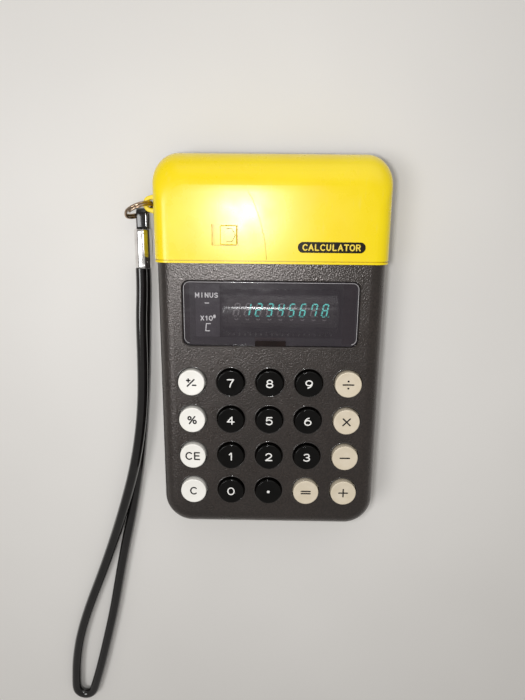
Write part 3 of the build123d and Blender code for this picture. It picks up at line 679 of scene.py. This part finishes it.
def split_ring_piece(shader):
    """Spring wire wound nearly twice round, crossing from one turn to the other."""
    along = Vector((cos(RING_YAW), sin(RING_YAW), 0))
    across = Vector((-sin(RING_YAW), cos(RING_YAW), 0))
    up = Vector((0, 0, 1)) * cos(RING_LEAN) + across * sin(RING_LEAN)
    normal = along.cross(up)
    middle = LUG_HOLE - along * RING_RADIUS
    turn_offset = 0.48 * MM
    crossing, end_gap, half_cross = radians(150), radians(30), radians(28)
    path = []
    steps = 150
    for k in range(steps + 1):
        turn = end_gap + (4 * pi - 2 * end_gap) * k / steps
        share = min(1.0, max(0.0, (turn - 2 * pi + half_cross) / (2 * half_cross)))
        share = share * share * (3 - 2 * share)
        angle = crossing + turn
        place = middle + (along * cos(angle) + up * sin(angle)) * RING_RADIUS
        path.append(place + normal * turn_offset * (2 * share - 1))
    bm = bmesh.new()
    sweep(bm, path, round_section(RING_WIRE, RING_WIRE * 0.96, 16, 2.6), normal)
    piece = make_object("split_ring_coil", bm, shader, "wrist_strap")
    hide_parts("split_ring")
    return piece


def make_strap():
    """The strap's cord and the three pieces on it."""
    vinyl = vinyl_material()
    chrome = metal("ferrule_bright_chrome", (0.72, 0.70, 0.69), (0.90, 0.89, 0.88), (0.08, 0.22),
                   stretch=(1, 0.08, 1), patch=0.004)
    nickel = metal("ring_worn_nickel", (0.30, 0.19, 0.12), (0.62, 0.50, 0.38), (0.14, 0.3),
                   patch=0.002)
    cord = strap_cord_piece(vinyl)
    with_it = [strap_tab_piece(vinyl), strap_ferrule_piece(chrome), split_ring_piece(nickel)]


# -------- yellow cover
COVER_WALL = 2.2 * MM
COVER_SIDE_ROLL = 6.6 * MM
COVER_END_ROLL = 14.0 * MM
ROLL_POWER = 2.55
COVER_CORNER = 9.0 * MM
COVER_LOW_Z = 8.5 * MM
CORNER_DRAW_IN = 0.35
BEAD_WIDTH = 0.75 * MM
GROOVE_WIDTH = 0.4 * MM
GROOVE_DEPTH = 0.6 * MM


def roll_back(depth, radius):
    """How far an edge that rolls over softly has drawn in at a depth below its top."""
    share = max(0.0, 1 - depth / radius)
    return radius * (1 - (1 - share ** ROLL_POWER) ** (1 / ROLL_POWER))


def cover_form(name, inset, mouth_y, low_z):
    """The cover's outer shape drawn in by an inset, as a closed form with softly rounded corners."""
    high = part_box("top_cover")[1]
    half, far_y, top_z = high.x - inset, high.y - inset, high.z - inset
    side_roll, end_roll, corner = COVER_SIDE_ROLL - inset, COVER_END_ROLL - inset, COVER_CORNER - inset
    depths = [end_roll * (1 - cos(radians(angle))) for angle in range(0, 91, 5)]
    depths += [side_roll * (1 - cos(radians(angle))) for angle in range(9, 91, 9)]
    levels = sorted({low_z} | {round(top_z - depth, 7) for depth in depths})
    rings = []
    for z in levels:
        side = roll_back(top_z - z, side_roll)
        end = roll_back(top_z - z, end_roll)
        rx = corner - CORNER_DRAW_IN * side
        x, y = half - side - rx, far_y - end - corner
        outline = [(x + rx, mouth_y)] + arc(x, y, rx, corner, 0, 90, 20)
        outline += [(-px, py) for px, py in reversed(outline)]
        rings.append([Vector((px, py, z)) for px, py in outline])
    bm = bmesh.new()
    skin(bm, rings)
    return plain_form(name, bm)


def block_form(name, x0, x1, y0, y1, z0, z1, corner=0.0):
    """A cutter: a block whose plan corners may be round."""
    bm = bmesh.new()
    plate(bm, rounded(x0, x1, y0, y1, corner) if corner else rectangle(x0, x1, y0, y1), z0, z1)
    bmesh.ops.remove_doubles(bm, verts=bm.verts, dist=1e-7)
    return plain_form(name, bm)


def cut(target, cutter):
    """Take a cutter out of a form, and the cutter out of the scene."""
    modifier = target.modifiers.new("cut", "BOOLEAN")
    modifier.operation = "DIFFERENCE"
    modifier.solver = "EXACT"
    modifier.object = cutter
    bpy.context.view_layer.update()
    shaped = target.evaluated_get(bpy.context.evaluated_depsgraph_get())
    mesh = bpy.data.meshes.new_from_object(shaped)
    target.modifiers.clear()
    target.data = mesh
    bpy.data.objects.remove(cutter)


def lug_reach(angle):
    """From the lug's hole to its outline: a web to the wall, and round elsewhere."""
    foot = Vector((2.9, 4.2)) * MM
    touch = Vector((-1.6, 2.77)) * MM
    a = abs(angle)
    if a > radians(120):
        return touch.length
    if a <= foot.angle(Vector((1, 0))):
        return foot.x / cos(a)
    return foot.cross(foot - touch) / Vector((cos(a), sin(a))).cross(foot - touch)


def add_lug(bm):
    """The strap lug, with eased edges and its hole."""
    hole, half, ease = 1.6 * MM, 1.3 * MM, 0.3 * MM
    inner = half - ease
    count = 72
    angles = [-pi + 2 * pi * k / count for k in range(count)]
    # Radius, or 0 for the outline; how much more; and height from the lug's middle.
    levels = [(0, -ease, -half), (0, 0, -inner), (0, 0, inner), (0, -ease, half),
              (hole + ease, 0, half), (hole, 0, inner), (hole, 0, -inner), (hole + ease, 0, -half)]
    rings = []
    for radius, more, up in levels:
        middle = LUG_HOLE + Vector((0, 0, up))
        rings.append([middle + Vector((cos(a), sin(a), 0)) * (radius or lug_reach(a) + more) for a in angles])
    skin(bm, rings, closed=True)


def make_cover(material):
    """The yellow cover as one smooth shell with its groove, switch slot, badge recess and lug."""
    low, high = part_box("top_cover")
    beyond = 3.0 * MM
    mouth_y, before_y, above_z = low.y, low.y - beyond, high.z + beyond
    shell = cover_form("yellow_cover_shell", 0.0, mouth_y, COVER_LOW_Z)
    groove_y = mouth_y + BEAD_WIDTH
    band = block_form("groove_band", low.x - beyond, high.x + beyond, groove_y, groove_y + GROOVE_WIDTH,
                      COVER_LOW_Z - beyond, above_z)
    cut(band, cover_form("groove_floor", GROOVE_DEPTH, before_y, COVER_LOW_Z - 2 * beyond))
    cut(shell, band)
    cut(shell, cover_form("cover_hollow", COVER_WALL, before_y, COVER_LOW_Z - beyond))
    slot = [place * MM for place in (-21.6, -11.8, 40.5, 48.0)]
    cut(shell, block_form("switch_slot", *slot, high.z - 2 * beyond, above_z))
    badge_low, badge_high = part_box("badge_plate")
    gap = 0.05 * MM
    cut(shell, block_form("badge_recess", badge_low.x - gap, badge_high.x + gap, badge_low.y - gap,
                          badge_high.y + gap, badge_low.z, above_z, (badge_high.y - badge_low.y) / 2))
    bm = bmesh.new()
    bm.from_mesh(shell.data)
    bpy.data.objects.remove(shell)
    add_lug(bm)
    piece = make_object("yellow_cover_shell_moulded", bm, material, "case")
    piece.data.set_sharp_from_angle(angle=radians(32))
    even = piece.modifiers.new("even_shading", "WEIGHTED_NORMAL")
    even.keep_sharp = True
    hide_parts("top_cover")


# -------- key legends
def key_symbols():
    """The lines printed on each key, in millimetres about the key's middle."""
    signs = {
        "key_sign": [[(-1.55, -1.35), (1.05, 1.3)], [(-1.75, 0.95), (-0.55, 0.95)],
                     [(-1.15, 0.35), (-1.15, 1.55)], [(0.45, -0.95), (1.7, -0.95)]],
        "key_percent": [[(-1.05, -1.45), (1.05, 1.45)], arc(-0.98, 0.75, 0.56, 0.66, 0, 360, 20),
                        arc(0.98, -0.75, 0.56, 0.66, 0, 360, 20)],
        "key_clear_entry": word("CE", 0.05, 0, 3.15, 2.75, 2.85),
        "key_clear": placed(GLYPHS["C"], 0, 0, 2.8, 2.85),
        "key_divide": [[(-2, 0), (2, 0)], arc(0, 1.4, 0.12, 0.12, 0, 360, 10),
                       arc(0, -1.4, 0.12, 0.12, 0, 360, 10)],
        "key_multiply": [[(-1.35, -1.35), (1.35, 1.35)], [(-1.35, 1.35), (1.35, -1.35)]],
        "key_minus": [[(-1.8, 0), (1.8, 0)]],
        "key_equals": [[(-1.75, 0.5), (1.75, 0.5)], [(-1.75, -0.5), (1.75, -0.5)]],
        "key_plus": [[(-1.7, 0), (1.7, 0)], [(0, -1.6), (0, 1.6)]],
        "key_point": [[(-0.28, y), (0.28, y)] for y in (-0.28, 0, 0.28)],
    }
    for digit in "0123456789":
        signs["key_" + digit] = placed(GLYPHS[digit], 0, 0, 2.9, 2.9)
    return signs


def make_legends():
    """Pale legends on the black keys, dark ones on the others."""
    white_ink = plastic("legend_white_ink", (0.84, 0.83, 0.80), (0.95, 0.94, 0.91), (0.35, 0.5),
                        patch=0.001, grain=0.0003, depth=4e-6)
    dark_ink = plastic("legend_dark_ink", (0.003, 0.0025, 0.003), (0.008, 0.006, 0.007), (0.4, 0.55),
                       patch=0.001, grain=0.0003, depth=4e-6, Specular_IOR_Level=0.25)
    for name, lines in key_symbols().items():
        light = name[4:].isdigit() or name == "key_point"
        middle = middle_of(name)
        bm = bmesh.new()
        draw(bm, placed(lines, middle.x, middle.y, MM, MM), half_width=(0.26 if light else 0.30) * MM,
             rise=0.06 * MM, height_at=partial(surface_height, name))
        make_object(name + "_legend", bm, white_ink if light else dark_ink, name)


def make_hole_rims():
    """A polished raised rim round each key's hole in the panel."""
    rim = plastic("panel_polished_rim", (0.012, 0.009, 0.008), (0.024, 0.018, 0.016), (0.14, 0.2),
                  patch=0.003, grain=0.0006, depth=4e-6, Specular_IOR_Level=1.0, Coat_Weight=1.0,
                  Coat_Roughness=0.12)
    radius = 5.78 * MM
    panel = level(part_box("front_case")[1].z)
    bm = bmesh.new()
    for name in key_symbols():
        middle = middle_of(name)
        ribbon(bm, arc(middle.x, middle.y, radius, radius, 0, 360, 72), 0.22 * MM, 0.12 * MM, panel)
    make_object("panel_hole_rims", bm, rim, "case")


def make_switch_mark():
    """A dark line of painted shade along the moulded arrow's edge on the slide switch."""
    # Painted shade: a dark olive line drawn where the arrow's edge would lie in shadow.
    shade = plastic("switch_arrow_painted_shade", (0.20, 0.14, 0.0), (0.28, 0.20, 0.004), (0.4, 0.55),
                    patch=0.002, depth=4e-6)
    tip_x, y = -13.05 * MM, 44.25 * MM
    head, length, half = 1.25 * MM, 3.2 * MM, 2.35 * MM
    bm = bmesh.new()
    lines = [[(tip_x - length, y + half), (tip_x - head, y + half), (tip_x, y)],
             [(tip_x, y), (tip_x - head, y - half), (tip_x - length, y - half)]]
    for line in lines:
        ribbon(bm, finer(line, STROKE_STEP), 0.11 * MM, 0.06 * MM, partial(surface_height, "switch_knob"))
    make_object("switch_arrow_shade_line", bm, shade, "power_slider")


# -------- display
LIT_SEGMENTS = ["", "bc", "abged", "abgcd", "fgbc", "afgcd", "afgecd", "fabc", "abcdefg"]


def digit_bars(middle_x):
    """The seven bars of one slanted digit: name to outline."""
    right, top, half = DIGIT_HALF_WIDTH, DIGIT_HALF_HEIGHT, SEGMENT_HALF_WIDTH
    left, foot = -right, -top
    gap, point = 1.15 * half, 0.8 * half
    ends = {
        "a": ((left, top), (right, top)),
        "b": ((right, top), (right, 0)),
        "c": ((right, 0), (right, foot)),
        "d": ((left, foot), (right, foot)),
        "e": ((left, 0), (left, foot)),
        "f": ((left, top), (left, 0)),
        "g": ((left, 0), (right, 0)),
    }
    bars = {}
    for name, (start, end) in ends.items():
        start, end = Vector(start), Vector(end)
        along = (end - start).normalized()
        across = Vector((-along.y, along.x)) * half
        start, end = start + along * gap, end - along * gap
        shape = [start - along * point, start + across, end + across, end + along * point,
                 end - across, start - across]
        bars[name] = [(middle_x + p.x + p.y * DIGIT_SHEAR, DIGIT_Y + p.y) for p in shape]
    return bars


def make_display():
    """The tube's bars and points, and the hook under each digit; the unlit ones carry a faint painted glow.
    """
    phosphor = glow_material("phosphor_lit", (0.06, 0.62, 0.56), (0.20, 0.90, 0.84), 2.2)
    # Painted light: the unlit bars, points and hooks glow faintly, though they are not lit.
    dull_painted_glow = glow_material("phosphor_unlit_painted_glow", (0.42, 0.38, 0.40), (0.58, 0.53, 0.55), 0.6)
    plate_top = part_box("anode_plate")[1].z
    low_z, high_z = plate_top - 0.01 * MM, plate_top + 0.06 * MM
    point_x, point_radius = DIGIT_HALF_WIDTH + 0.85 * MM - DIGIT_HALF_HEIGHT * DIGIT_SHEAR, 0.26 * MM
    hook_x, hook_y, hook_radius = -0.1 * MM, DIGIT_Y - 3.2 * MM, 0.75 * MM
    lit, unlit = bmesh.new(), bmesh.new()
    for index, lit_names in enumerate(LIT_SEGMENTS):
        x = FIRST_DIGIT_X + index * DIGIT_PITCH
        for name, outline in digit_bars(x).items():
            plate(lit if name in lit_names else unlit, outline, low_z, high_z)
        point = arc(x + point_x, DIGIT_Y - DIGIT_HALF_HEIGHT, point_radius, point_radius, 0, 342, 19)
        plate(lit if index == DIGIT_COUNT - 1 else unlit, point, low_z, high_z)
        hook = arc(x + hook_x, hook_y, hook_radius, hook_radius, 215, 325, 10)
        draw(unlit, [hook], half_width=0.14 * MM, rise=0.05 * MM, height_at=level(plate_top))
    make_object("display_segments_lit", lit, phosphor, "case", smooth=False)
    make_object("display_segments_unlit", unlit, dull_painted_glow, "case", smooth=False)


def make_grids():
    """Etched control grids: a fine frame and upright wires over each digit."""
    foot_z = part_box("digit_grids")[0].z
    steel = metal("grid_fine_mesh", (0.16, 0.14, 0.14), (0.28, 0.25, 0.25), patch=0.001)
    rail, half_wire, thickness, count = 0.07 * MM, 0.015 * MM, 0.05 * MM, 6
    half_x, half_tab, low_y, high_y = 1.9 * MM, 0.3 * MM, DIGIT_Y - 4.6 * MM, DIGIT_Y + 4.0 * MM
    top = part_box("anode_plate")[1].z + 1.15 * MM
    bm = bmesh.new()

    def bar(x0, x1, y0, y1, z0=top - thickness):
        plate(bm, rectangle(x0, x1, y0, y1), z0, top)

    for index in range(DIGIT_COUNT):
        x = FIRST_DIGIT_X + index * DIGIT_PITCH
        bar(x - half_x, x + half_x, low_y, low_y + rail)
        bar(x - half_x, x + half_x, high_y - rail, high_y)
        bar(x - half_tab, x + half_tab, low_y, low_y + rail, foot_z)
        for step in range(count + 1):
            wire_x = x + (half_x - half_wire) * (2 * step / count - 1)
            bar(wire_x - half_wire, wire_x + half_wire, low_y, high_y)
    piece = make_object("grid_fine_wires", bm, steel, "case", smooth=False)
    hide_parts("digit_grids")


def make_tube_glass():
    """The tube's blown cover: a shell crowned from front to back, with rounded rims."""
    low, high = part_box("tube_cover_glass")
    middle_y, reach_y = (low.y + high.y) / 2, (high.y - low.y) / 2
    crown, corner, rim_depth, rows = 2.9 * MM, 1.4 * MM, 0.84 * MM, 24

    def section(x, inset):
        """The tube's outline across Y and Z at one place along X."""
        bows = [sin((2 * k / rows - 1) * pi / 2) for k in range(rows + 1)]
        points = [Vector((x, middle_y + bow * (reach_y - inset), high.z - inset - crown * bow * bow))
                  for bow in bows]
        return points + [Vector((x, high.y - inset, low.z)), Vector((x, low.y + inset, low.z))]

    rims = [(corner * share, rim_depth * (1 - sqrt(1 - (1 - share) ** 2)))
            for share in (0.0, 0.08, 0.25, 0.55, 1.0)]
    bm = bmesh.new()
    skin(bm, [section(low.x + along, inset) for along, inset in rims]
         + [section(high.x - along, inset) for along, inset in reversed(rims)])
    piece = make_object("tube_crowned_glass", bm, glass_material(), "case")
    piece.data.set_sharp_from_angle(angle=radians(40))
    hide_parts("tube_cover_glass")


def make_window_trim():
    """The pane's bevel drawn as a pale line of painted highlight, open along its foot, the dark notch there,
    the dark masks behind it and a dark bar of painted shade under the digits.
    """
    low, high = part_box("display_window")
    # Painted highlight: a pale grey line standing in for light reflected along the smoked pane's bevel.
    bevel_painted_highlight = plastic("window_bevel_painted_highlight", (0.42, 0.40, 0.42), (0.62, 0.60, 0.60), (0.08, 0.16),
                    patch=0.01, grain=0.0008, depth=4e-6)
    inset, foot_inset, corner = 0.34 * MM, 0.85 * MM, 2.2 * MM
    reach = high.x - inset
    outline = rounded(-reach, reach, low.y + foot_inset, high.y - inset, corner, open_by=10)
    bm = bmesh.new()
    ribbon(bm, outline, half_width=0.095 * MM, rise=0.05 * MM, height_at=level(high.z))
    make_object("window_bevel_highlight_line", bm, bevel_painted_highlight, "case")
    dark = plastic("window_dark_fitting_and_painted_shade", (0.005, 0.0015, 0.001), (0.011, 0.004, 0.003), (0.5, 0.65),
                   patch=0.002, Specular_IOR_Level=0.15)

    def dark_plate(name, outlines, low_z, high_z):
        bm = bmesh.new()
        for outline in outlines:
            plate(bm, outline, low_z, high_z)
        make_object(name, bm, dark, "case", smooth=False)

    foot, top = low.y - 0.1 * MM, low.y + 2.0 * MM
    notch = [(-5.9 * MM, foot), (5.9 * MM, foot), (5.7 * MM, top), (-5.7 * MM, top)]
    dark_plate("window_lower_notch", [notch], high.z - 0.3 * MM, high.z + 0.12 * MM)
    foot, top = low.y + 0.6 * MM, high.y - 0.6 * MM
    sides = [rectangle(x0 * MM, x1 * MM, foot, top) for x0, x1 in ((-32.2, -30.6), (27.2, 31.8))]
    dark_plate("window_side_masks", sides, low.z - 0.035 * MM, low.z - 0.01 * MM)
    # Painted shade: a dark bar under the digits standing in for the shade beneath them.
    plate_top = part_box("anode_plate")[1].z
    bar = rectangle(-17.0 * MM, 24.6 * MM, 8.6 * MM, 10.6 * MM)
    dark_plate("tube_painted_shade_bar", [bar], plate_top - 0.9 * MM, plate_top + 0.1 * MM)


def make_display_print():
    """Indicator words printed beside the tube, in millimetres, their pale ink given a painted glow."""
    lines = word("MINUS", -24.15, 21.9, 1.78, 1.5, 1.6) + [[(-24.8, 18.9), (-23.4, 18.9)]]
    lines += word("X10", -24.3, 13.1, 1.62, 1.4, 1.6) + placed(GLYPHS["8"], -21.3, 13.8, 0.8, 1.0)
    lines += [[(-22.9, 11.0), (-24.4, 11.0), (-24.7, 8.2), (-23.2, 8.2)]]
    bm = bmesh.new()
    draw(bm, placed(lines, 0, 0, MM, MM), 0.18 * MM, 0.05 * MM, level(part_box("legend_strip")[1].z),
         step=0.3 * MM)
    # Painted light: the printed ink glows, though it is no lamp.
    ink = glow_material("indicator_ink_painted_glow", (0.62, 0.60, 0.62), (0.80, 0.78, 0.78), 1.2)
    make_object("display_indicator_print", bm, ink, "case")


def make_badge_print():
    """A plain word in yellow on the black badge."""
    ink = plastic("badge_yellow_ink", (0.82, 0.60, 0.04), (0.95, 0.72, 0.07), (0.3, 0.42), patch=0.002,
                  depth=4e-6)
    middle = middle_of("badge_plate")
    lines = word("CALCULATOR", middle.x, middle.y, 2.12 * MM, 1.75 * MM, 1.95 * MM)
    bm = bmesh.new()
    draw(bm, lines, 0.26 * MM, 0.05 * MM, level(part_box("badge_plate")[1].z))
    make_object("badge_word", bm, ink, "case")


# -------- CAD nodes' finishes
def dress_nodes():
    """A finish for every CAD node that stays, and the yellow cover, which shares the knob's."""
    yellow = yellow_cover_material()
    dress(yellow, "top_cover", "switch_knob")
    make_cover(yellow)
    dress(black_case_material(), "front_case", "rear_case", "battery_door")
    black_key = key_material("key_black_gloss", (0.0012, 0.0011, 0.001), (0.003, 0.0026, 0.0024),
                             (0.12, 0.18), Specular_IOR_Level=0.28)
    white_key = key_material("key_white_gloss", (0.91, 0.89, 0.83), (0.96, 0.94, 0.89), (0.3, 0.4))
    cream_key = key_material("key_cream_gloss", (0.70, 0.61, 0.46), (0.77, 0.68, 0.54), (0.3, 0.4))
    dress(black_key, *["key_" + digit for digit in "0123456789"], "key_point")
    dress(white_key, "key_sign", "key_percent", "key_clear_entry", "key_clear")
    dress(cream_key, "key_divide", "key_multiply", "key_minus", "key_plus", "key_equals")
    dress(plastic("badge_black_lacquer", (0.006, 0.0035, 0.001), (0.013, 0.008, 0.003), (0.3, 0.45),
                  patch=0.003, Specular_IOR_Level=0.2), "badge_plate")
    dress(label_material(), "rear_label")
    dress(metal("screw_plated_steel", (0.34, 0.33, 0.31), (0.56, 0.55, 0.52)),
          "case_screws", "board_screws")
    dress(window_material(), "display_window")
    dress(mask_material(), "display_mask")
    dress(plastic("strip_dark_print", (0.055, 0.048, 0.060), (0.078, 0.068, 0.084), (0.45, 0.6),
                  patch=0.004), "legend_strip")
    dress(plastic("tube_base_dark_glass", (0.07, 0.060, 0.066), (0.10, 0.086, 0.094), (0.15, 0.3),
                  patch=0.004), "tube_base_glass")
    dress(plastic("anode_dark_ceramic", (0.075, 0.058, 0.064), (0.120, 0.092, 0.100), (0.4, 0.6),
                  patch=0.003, grain=0.0002), "anode_plate")
    dress(metal("filament_tungsten", (0.10, 0.09, 0.09), (0.2, 0.17, 0.17), patch=0.001), "filaments")
    dress(metal("lead_tinned_wire", (0.5, 0.5, 0.48), (0.68, 0.68, 0.66)), "tube_leads", "chip_pins")
    dress(plastic("mat_black_rubber", (0.02, 0.02, 0.02), (0.035, 0.034, 0.033), (0.6, 0.75)),
          "contact_mat")
    dress(board_material(), "main_board", "switch_board")
    dress(plastic("chip_black_epoxy", (0.014, 0.014, 0.015), (0.028, 0.028, 0.028), (0.45, 0.6),
                  grain=0.0001), "calculator_chip", "transistors")
    dress(plastic("core_grey_ferrite", (0.05, 0.048, 0.046), (0.09, 0.085, 0.08), (0.55, 0.7),
                  patch=0.002), "transformer_core")
    dress(winding_material(), "transformer_winding")
    dress(banded_material("capacitor_blue_sleeve", (0.02, 0.05, 0.16), (0.55, 0.56, 0.58), axis=1,
                          centre=0.0065, reach=0.0012), "electrolytic_capacitors")
    dress(banded_material("resistor_banded_body", (0.46, 0.33, 0.19), (0.30, 0.05, 0.02), axis=1,
                          centre=-0.012, reach=0.0004), "resistors")
    dress(plastic("cradle_grey_plastic", (0.09, 0.09, 0.088), (0.13, 0.13, 0.126), (0.4, 0.5)),
          "battery_cradle")
    for cell, ending, centre in (("cell_1", "", 0.014), ("cell_2", "_turned", -0.014)):
        dress(banded_material("cell_printed_jacket" + ending, (0.03, 0.03, 0.035), (0.50, 0.36, 0.16),
                              axis=0, centre=centre, reach=0.008, rough=0.3), cell)
    dress(metal("contact_spring_nickel", (0.5, 0.47, 0.41), (0.72, 0.69, 0.62)),
          "positive_contact", "negative_contact", "link_contact", "switch_wiper")
    dress(plastic("wire_red_insulation", (0.28, 0.015, 0.01), (0.42, 0.03, 0.02), (0.35, 0.5)),
          "supply_wires")


# -------- studio
FLOOR_REACH = 3.0
FLOOR_Z = -0.4 * MM


def area_light(name, place, target, size, power):
    """A round white lamp, so many metres across and of so many watts, turned to a target."""
    data = bpy.data.lights.new(name, "AREA")
    data.shape = "DISK"
    data.size = size
    data.energy = power
    light = in_scene(name, data)
    light.location = place
    light.rotation_mode = "QUATERNION"
    light.rotation_quaternion = (Vector(target) - Vector(place)).to_track_quat("-Z", "Y")


def make_studio():
    """The pale floor just under the part, the lamps and the air's own light."""
    pale = plastic("studio_pale_floor", (0.80, 0.78, 0.75), (0.86, 0.84, 0.81), (0.55, 0.7), patch=0.15,
                   grain=0.002, depth=2e-5)
    mesh = bpy.data.meshes.new("studio_floor")
    corners = rectangle(-FLOOR_REACH, FLOOR_REACH, -FLOOR_REACH, FLOOR_REACH)
    mesh.from_pydata([(x, y, FLOOR_Z) for x, y in corners], [], [(0, 1, 2, 3)])
    mesh.materials.append(pale.material)
    floor = in_scene("studio_floor", mesh)

    world = bpy.data.worlds.new("studio_air")
    bpy.context.scene.world = world
    world.use_nodes = True
    air = world.node_tree.nodes["Background"].inputs
    air["Color"].default_value = (1.0, 0.97, 0.93, 1)
    air["Strength"].default_value = 0.30
    area_light("key_softbox", (-0.020, 0.050, 0.227), (-0.006, -0.01, 0.0), size=0.026, power=0.19)
    area_light("side_softbox", (-0.33, -0.01, 0.62), (-0.05, 0.03, 0.0), size=0.26, power=1.2)
    area_light("far_softbox", (0.20, 0.72, 0.50), (0, 0, 0), size=1.0, power=1.7)
    bpy.context.scene.view_settings.view_transform = "Standard"


# -------- make everything
make_camera()
make_strap()
dress_nodes()
make_legends()
make_hole_rims()
make_switch_mark()
make_display()
make_grids()
make_tube_glass()
make_window_trim()
make_display_print()
make_badge_print()
make_studio()
